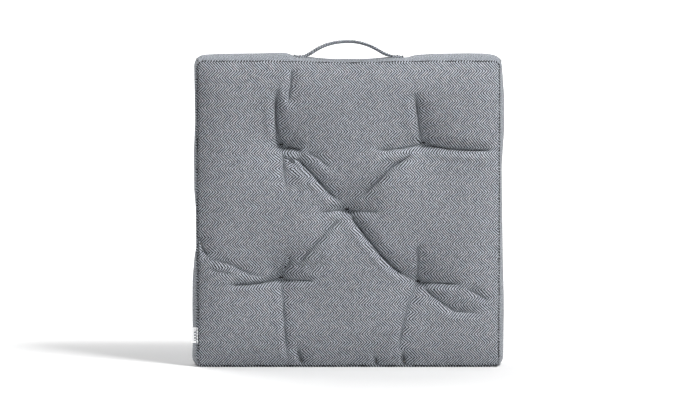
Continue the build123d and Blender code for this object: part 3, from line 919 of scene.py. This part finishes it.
def strap_piece(top_panel, material):
    """The whole strap: two plies of the cover's cloth, sewn down at both ends and arched between them."""
    down = (0, 0, -1)
    stations = np.linspace(-TAB_END, TAB_END, 151)
    lying = np.array([on_surface(top_panel, (x, 0, STRAP_TOP), down)[0][2] for x in stations])
    lying = np.convolve(np.pad(lying, 4, mode="edge"), np.full(9, 1 / 9), mode="valid") + STRAP_EDGE / 4
    level = {side: lying[np.argmin(np.abs(stations - side * HALF_SPAN))] for side in (-1, 1)}
    crown_z = STRAP_TOP - STRAP_THICKNESS / 2
    half_round = [(sin(t), cos(t)) for t in np.linspace(0, pi, 7)]
    flat = np.linspace(-1, 1, 13)
    outline = [(y, 1.0, 0) for y in flat] + [(1, c, s) for s, c in half_round[1:-1]]
    outline += [(y, -1.0, 0) for y in flat[::-1]] + [(-1, -c, s) for s, c in half_round[1:-1]]
    half_width = STRAP_WIDTH / 2 - STRAP_EDGE / 2
    path = []
    for x, rest in zip(stations, lying):
        share = ease(np.array([(x / HALF_SPAN + 1) / 2]))[0]
        base = level[-1] * (1 - share) + level[1] * share if abs(x) < HALF_SPAN else rest
        uneven = 0.35 * MM * sin(x * 71) * sin(x * 37 + 1)
        path.append((x, base + arch_height(x - ARCH_MIDDLE, crown_z - base) + uneven))
    path = np.array(path)
    slopes = np.gradient(path, axis=0)
    slopes /= np.linalg.norm(slopes, axis=1)[:, None]
    lengths = np.concatenate([[0], np.cumsum(np.linalg.norm(np.diff(path, axis=0), axis=1))])
    points = []
    for (x, z), (along_x, along_z) in zip(path, slopes):
        tab = ease(np.array([(abs(x) - 60 * MM) / (15 * MM)]))[0]
        for y, up, out in outline:
            across = y * half_width + np.sign(y) * out * STRAP_EDGE / 2
            puff = STRAP_EDGE / 2 + (STRAP_THICKNESS - STRAP_EDGE) / 2 * (1 - abs(y) ** 3)
            puff *= 1 - 0.45 * tab
            sag = 1.2 * MM * y * y * tab + 0.5 * MM * y * sin(x * 24 + 0.6)
            height = up * puff - sag
            points.append((x - along_z * height, across, z + along_x * height))
    count = len(outline)
    faces, uvs = [], []
    girth = np.cumsum([0] + [hypot((outline[(k + 1) % count][0] - outline[k][0]) * half_width,
                                   (outline[(k + 1) % count][1] - outline[k][1]) * STRAP_EDGE / 2)
                             for k in range(count)])
    for i in range(len(path) - 1):
        for k in range(count):
            m = (k + 1) % count
            faces.append((i * count + k, i * count + m, (i + 1) * count + m, (i + 1) * count + k))
            uvs.append([(lengths[i], girth[k]), (lengths[i], girth[k + 1]), (lengths[i + 1], girth[k + 1]),
                        (lengths[i + 1], girth[k])])
    last = (len(path) - 1) * count
    faces.append(tuple(range(count))[::-1])
    faces.append(tuple(range(last, last + count)))
    piece = mesh_object("handle_strap_cloth", points, faces)
    weave = piece.data.uv_layers.new(name="weave")
    flat_uv = np.array(uvs).reshape(-1, 2)
    weave.data.foreach_set("uv", np.concatenate([flat_uv, np.zeros((2 * count, 2))]).ravel())
    repair = bmesh.new()
    repair.from_mesh(piece.data)
    bmesh.ops.recalc_face_normals(repair, faces=repair.faces)
    repair.to_mesh(piece.data)
    repair.free()
    piece.data.materials.append(material)
    shade_smooth(piece)
    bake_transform(piece)
    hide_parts("handle_strap", "handle_end_left", "handle_end_right")
    return piece, path


def joint(name):
    """A joint of the frame, by its name."""
    return next(j for j in frame["joints"] if j["name"] == name)


# ---------------------------------------------------------------- label
LABEL_EASE = 1.5 * MM  # the real ribbon is this much longer than its stiff stand-in
LABEL_SPRING = 2.2 * MM  # and its fold stands off the boxing this much


def label_piece(material):
    """A ribbon folded in two, its ends sewn into the left front seam."""
    low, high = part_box("label")
    root = Vector(joint("label_flap")["pos_m"]) + Vector((1.2 * MM, -0.8 * MM, 0))
    ply = 0.32 * MM
    gap = 0.55 * MM
    tip = Vector((low.x + gap, high.y - gap, root.z))
    reach = (tip - root).length + LABEL_EASE
    way = (tip - root).normalized()
    aside = Vector((way.y, -way.x, 0))
    height = high.z - low.z
    rows = np.linspace(-height / 2, height / 2, 15)
    profile = [(s * reach, -gap / 2 * (0.4 + 0.6 * s)) for s in np.linspace(0, 1, 14)]
    profile += [(reach + gap / 2 * sin(t), -gap / 2 * cos(t)) for t in np.linspace(0, pi, 7)[1:-1]]
    profile += [(s * reach, gap / 2 * (0.4 + 0.6 * s)) for s in np.linspace(1, 0, 14)]
    points, faces, uvs = [], [], []
    for row in rows:
        for out, side in profile:
            curl = (0.5 * MM * sin(row / height * 5 + 0.8) - LABEL_SPRING) * (out / reach) ** 2
            spot = root + way * out + aside * (-side + curl)
            points.append((spot.x, spot.y, (low.z + high.z) / 2 + row))
    count = len(profile)
    for r in range(len(rows) - 1):
        for k in range(count - 1):
            faces.append((r * count + k, r * count + k + 1, (r + 1) * count + k + 1, (r + 1) * count + k))
            here, ahead = profile[k][0], profile[k + 1][0]
            uvs.append([(here, rows[r]), (ahead, rows[r]), (ahead, rows[r + 1]), (here, rows[r + 1])])
    piece = mesh_object("label_ribbon", points, faces)
    weave = piece.data.uv_layers.new(name="weave")
    weave.data.foreach_set("uv", np.array(uvs).ravel())
    thick = piece.modifiers.new("thick", "SOLIDIFY")
    thick.thickness = ply
    thick.offset = 0
    apply_modifiers(piece)
    piece.data.materials.append(material)
    shade_smooth(piece)
    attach(piece, "label")
    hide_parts("label")
    return piece


# ---------------------------------------------------------------- settings and operators
made = {}  # what one operator hands on to the next


def colour_setting(name, description, hex_colour):
    """A colour among the settings, with its default as sRGB hex."""
    return bpy.props.FloatVectorProperty(name=name, description=description, default=linear(hex_colour),
                                         subtype="COLOR", size=4, min=0, max=1)


class CushionCloth(bpy.types.PropertyGroup):
    """Colours of the cushion's cloth, thread and label."""

    pale_yarn: colour_setting("Pale yarn", "Warp of the herringbone", "#EAF1FA")
    dark_yarn: colour_setting("Dark yarn", "Weft of the herringbone", "#121417")
    thread: colour_setting("Thread", "Sewing thread of all seams", "#131316")
    ribbon: colour_setting("Label ribbon", "Ground of the woven label", "#FBFBFC")
    motif: colour_setting("Label motif", "Chevrons of the woven label", "#20283A")
    lining: colour_setting("Inner case", "Cloth of the inner case", "#E4E1DA")
    fibre: colour_setting("Filling", "Fibre of the three batts", "#F0EFEC")


class CushionFilling(bpy.types.PropertyGroup):
    """How the cover is filled and sewn."""

    pressure: bpy.props.FloatProperty(
        name="Pressure", description="How hard the filling pushes", default=3.0, min=0
    )
    surplus: bpy.props.FloatProperty(
        name="Surplus cloth", description="Share by which the faces are cut larger", subtype="FACTOR",
        default=0.018, min=0, max=0.2,
    )
    stitch_pitch: bpy.props.FloatProperty(
        name="Stitch pitch", description="From one seam stitch to the next", unit="LENGTH",
        subtype="DISTANCE", default=4.8 * MM, min=1 * MM,
    )


class MakeCloth(bpy.types.Operator):
    """Make all the materials"""

    bl_idname = "cushion.make_cloth"
    bl_label = "Materials"

    def execute(self, context):
        c = context.scene.cushion_cloth
        made["cover_cloth"] = herringbone("herringbone_wool_look", c.dark_yarn, c.pale_yarn)
        made["thread"] = sewing_thread("spun_polyester_thread", c.thread)
        made["lining"] = pale_goods("non_woven_lining", c.lining, 1.1 * MM, 0.8)
        made["fibre"] = pale_goods("hollow_fibre_batt", c.fibre, 3.5 * MM, 0.9)
        low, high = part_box("label")
        reach = (Vector((low.x, high.y)) - Vector(joint("label_flap")["pos_m"][:2])).length
        made["ribbon"] = label_ribbon("satin_woven_ribbon", c.ribbon, c.motif, reach, high.z - low.z)
        return {"FINISHED"}


class MakeCover(bpy.types.Operator):
    """Make the six panels of the cover, settled over the filling"""

    bl_idname = "cushion.make_cover"
    bl_label = "Cover"

    def execute(self, context):
        cover = Cover()
        settings = context.scene.cushion_filling
        points = cover.points
        settled = stuff(cover, settings.pressure, settings.surplus)
        share = np.where(cover.face_of < 2, SETTLED_SHARE, SETTLED_SHARE_BOXING)[:, None]
        points = points + np.clip((settled - points) * share, -MOST_MOVED, MOST_MOVED)
        points = points + (0, 0, MIDDLE_Z)
        near_middle = np.exp(-((points[:, 0] / SAG_REACH) ** 2))
        near_top = np.clip(points[:, 2] / MIDDLE_Z - 1, 0, 1) ** 6
        points[:, 2] = np.maximum(points[:, 2] - SEAM_SAG * near_middle * near_top, 0.0)
        folded = points.copy()
        for face, creases in ((0, FRONT_CREASES), (1, BACK_CREASES)):
            mine = cover.face_of == face
            folded[mine] = fold(points[mine] - (0, 0, MIDDLE_Z), creases, INNER_SPREAD) + (0, 0, MIDDLE_Z)
        normals = point_normals(points, cover.faces)
        for name in PANELS:
            made[name] = panel_piece(name, cover, points, normals, made["cover_cloth"])
        made.update(cover=cover, points=points, folded=folded, normals=normals)
        return {"FINISHED"}


class MakeInside(bpy.types.Operator):
    """Make the inner case and the three batts of the filling"""

    bl_idname = "cushion.make_inside"
    bl_label = "Inside"

    def execute(self, context):
        cover, points, normals = made["cover"], made["folded"], made["normals"]
        case = sunk(cover, points, normals, CASE_DEPTH)
        for name, panels in (("inner_case_front", ("front_panel",)), ("inner_case_back", ("back_panel",)),
                             ("inner_case_boxing", PANELS[2:])):
            mine = np.isin(cover.panels, [PANELS.index(p) for p in panels])
            inner_piece(name, case, cover.faces[mine], made["lining"], CASE)
        stuffing = sunk(cover, points, normals, BATT_DEPTH)
        front, back = (corner.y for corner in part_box("filling_core"))
        for name, low, high in (("filling_front", None, front - BATT_GAP), ("filling_core", front, back),
                                ("filling_back", back + BATT_GAP, None)):
            batt_piece(name, stuffing, cover.faces, low, high, made["fibre"])
        return {"FINISHED"}


class MakeStitching(bpy.types.Operator):
    """Make the stitches of the two seams and the corners, and give the tuft ties the thread"""

    bl_idname = "cushion.make_stitching"
    bl_label = "Stitching"

    def execute(self, context):
        cover, points, normals = made["cover"], made["points"], made["normals"]
        pitch = context.scene.cushion_filling.stitch_pitch
        for name, ring, panel, way in (("front_seam_thread", cover.rings[0], "front_panel", (0, 1, 0)),
                                       ("back_seam_thread", cover.rings[-1], "back_panel", (0, -1, 0))):
            spots, along = walk(points[ring], pitch)
            places = []
            for spot, run in zip(spots, along):
                side = np.cross(run, way)
                side /= np.linalg.norm(side)
                if side[0] * spot[0] + side[2] * (spot[2] - MIDDLE_Z) > 0:
                    side = -side
                place, out = on_surface(made[panel], spot + side * STITCH_INSET, way)
                if place is not None:
                    places.append((place + out * STITCH_PROUD, run, out))
            stitch_piece(name + "_stitches", places, pitch * 0.68, SEAM_STITCH_RADIUS, made["thread"],
                         "cushion", name)
        corners = []
        for x_side in (-1, 1):
            for z_side in (-1, 1):
                column = cover.corner_column(x_side, z_side)
                spots, along = walk(points[column], pitch * 0.8, closed=False)
                out = normals[column][len(column) // 2]
                corners += [(spot - out * 0.3 * MM, run, out) for spot, run in zip(spots, along)]
        stitch_piece("corner_seam_stitches", corners, pitch * 0.55, 0.45 * MM, made["thread"], "cushion",
                     "corner_seam_threads")
        for name in TUFT_NAMES:
            tie = frame["nodes"][f"tuft_tie_{name}"]
            tie.data.materials.clear()
            tie.data.materials.append(made["thread"])
        return {"FINISHED"}


class MakeHandle(bpy.types.Operator):
    """Make the strap handle with its stitching"""

    bl_idname = "cushion.make_handle"
    bl_label = "Handle"

    def execute(self, context):
        strap, path = strap_piece(made["boxing_top"], made["cover_cloth"])
        rows = []
        inset = STRAP_WIDTH / 2 - EDGE_ROW_INSET
        line = np.stack([path[:, 0], np.zeros(len(path)), path[:, 1]], axis=1)
        spots, along = walk(line, EDGE_ROW_PITCH, closed=False)
        for spot, run in zip(spots, along):
            up = np.cross(run, (0, 1, 0))
            up = up / np.linalg.norm(up) * (-1 if np.cross(run, (0, 1, 0))[2] < 0 else 1)
            for side in (-1, 1):
                over = spot + (0, side * inset, 0) + up * 0.02
                # the row on each side face of the strap is dark thread that is partly its edge stitching and
                # partly painted shade along the strap's side
                beside = spot + (0, side * STRAP_WIDTH, 0) + up * 0.4 * MM
                for start, way in ((over, -up), (beside, np.array((0.0, -side, 0.0)))):
                    hit, place, normal, _ = strap.ray_cast(Vector(start), Vector(way))
                    if hit:
                        rows.append((np.array(place), run, np.array(normal)))
        edge_and_side_shade_rows = stitch_piece("handle_edge_stitches_and_painted_side_shade", rows, 2.9 * MM, 0.65 * MM, made["thread"], None)
        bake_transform(edge_and_side_shade_rows)
        for name, side in (("left", -1), ("right", 1)):
            low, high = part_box(f"handle_stitches_{name}")
            box = [np.array(p) for p in ((low.x, low.y), (high.x, low.y), (high.x, high.y), (low.x, high.y))]
            places = []
            for start, end in zip(box, box[1:] + box[:1]):
                count = max(2, int(np.linalg.norm(end - start) / BOX_ROW_PITCH))
                for k in range(count):
                    spot = start + (end - start) * (k + 0.5) / count
                    place, out = on_surface(strap, (spot[0], spot[1], STRAP_TOP), (0, 0, -1))
                    if place is not None:
                        places.append((place, np.array((*(end - start), 0)), out))
            stitch_piece(f"handle_box_stitches_{name}", places, 2.6 * MM, 0.42 * MM, made["thread"],
                         "cushion", f"handle_stitches_{name}")
        return {"FINISHED"}


class MakeLabel(bpy.types.Operator):
    """Make the folded label"""

    bl_idname = "cushion.make_label"
    bl_label = "Label"

    def execute(self, context):
        label_piece(made["ribbon"])
        return {"FINISHED"}


# Name, place and width in metres, watts: the key lamp is high at the right, the other behind the left edge.
LAMPS = (("key", (1.1, -1.15, 2.45), 0.6, 76), ("back", (-1.3, 1.1, 1.9), 1.2, 24))
PAPER_REACH = 14.0  # to the front, to both sides and up
PAPER_WALL = 12.0  # behind the cushion, far enough away to leave room all round
PAPER_BEND = 3.0  # radius with which the floor turns up into the wall
CAMERA_DISTANCE = 6.0
CAMERA_LIFT = radians(4.5)
CAMERA_AIM = Vector((2.4 * MM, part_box("front_panel")[0].y, 270.2 * MM))
CAMERA_SPAN = 1.118  # width of what the camera takes in at the cushion


class MakeStage(bpy.types.Operator):
    """Make the floor, the lights and the camera"""

    bl_idname = "cushion.make_stage"
    bl_label = "Stage"

    def execute(self, context):
        scene = context.scene
        level_end = PAPER_WALL - PAPER_BEND
        profile = [(-PAPER_REACH, 0.0), (level_end, 0.0)]
        for turn in np.linspace(0, pi / 2, 17)[1:]:
            profile.append((level_end + PAPER_BEND * sin(turn), PAPER_BEND - PAPER_BEND * cos(turn)))
        profile.append((PAPER_WALL, PAPER_REACH))
        points = [(x, y, z) for x in (-PAPER_REACH, PAPER_REACH) for y, z in profile]
        count = len(profile)
        faces = [(k, k + 1, k + 1 + count, k + count) for k in range(count - 1)]
        floor = mesh_object("paper_sweep", points, [f[::-1] for f in faces])
        floor.data.materials.append(backdrop_paper("seamless_paper"))
        shade_smooth(floor)
        world = bpy.data.worlds.new("studio")
        world.use_nodes = True
        sky = next(n for n in world.node_tree.nodes if n.type == "BACKGROUND")
        sky.inputs["Color"].default_value = (1, 1, 1, 1)
        sky.inputs["Strength"].default_value = 0.17
        scene.world = world
        middle = Vector((0, 0, MIDDLE_Z))
        for name, place, size, power in LAMPS:
            light = bpy.data.lights.new(name, "AREA")
            light.size = size
            light.energy = power
            lamp = bpy.data.objects.new(name, light)
            scene.collection.objects.link(lamp)
            lamp.location = place
            lamp.rotation_euler = (middle - Vector(place)).to_track_quat("-Z", "Y").to_euler()
        scene.view_settings.view_transform = "Standard"
        camera = bpy.data.cameras.new("camera")
        holder = bpy.data.objects.new("camera", camera)
        scene.collection.objects.link(holder)
        holder.location = CAMERA_AIM + CAMERA_DISTANCE * Vector((0, -cos(CAMERA_LIFT), sin(CAMERA_LIFT)))
        holder.rotation_euler = (CAMERA_AIM - holder.location).to_track_quat("-Z", "Y").to_euler()
        camera.lens = camera.sensor_width * CAMERA_DISTANCE / CAMERA_SPAN
        camera.clip_end = 40
        scene.camera = holder
        return {"FINISHED"}


OPERATORS = (MakeCloth, MakeCover, MakeInside, MakeStitching, MakeHandle, MakeLabel, MakeStage)


class CushionPanel(bpy.types.Panel):
    """The cushion's settings and its steps, in order"""

    bl_idname = "VIEW3D_PT_cushion"
    bl_label = "Floor cushion"
    bl_space_type = "VIEW_3D"
    bl_region_type = "UI"
    bl_category = "Cushion"

    def draw(self, context):
        for group in (context.scene.cushion_cloth, context.scene.cushion_filling):
            box = self.layout.box()
            for setting in group.__annotations__:
                box.prop(group, setting)
        for operator in OPERATORS:
            self.layout.operator(operator.bl_idname)


CLASSES = (CushionCloth, CushionFilling, *OPERATORS, CushionPanel)


def register():
    for each in CLASSES:
        bpy.utils.register_class(each)
    bpy.types.Scene.cushion_cloth = bpy.props.PointerProperty(type=CushionCloth)
    bpy.types.Scene.cushion_filling = bpy.props.PointerProperty(type=CushionFilling)


def unregister():
    del bpy.types.Scene.cushion_filling
    del bpy.types.Scene.cushion_cloth
    for each in reversed(CLASSES):
        bpy.utils.unregister_class(each)


def main():
    """Registers the add-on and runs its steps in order."""
    register()
    for operator in OPERATORS:
        group, name = operator.bl_idname.split(".")
        getattr(getattr(bpy.ops, group), name)()
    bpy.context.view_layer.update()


if __name__ == "__main__":
    main()
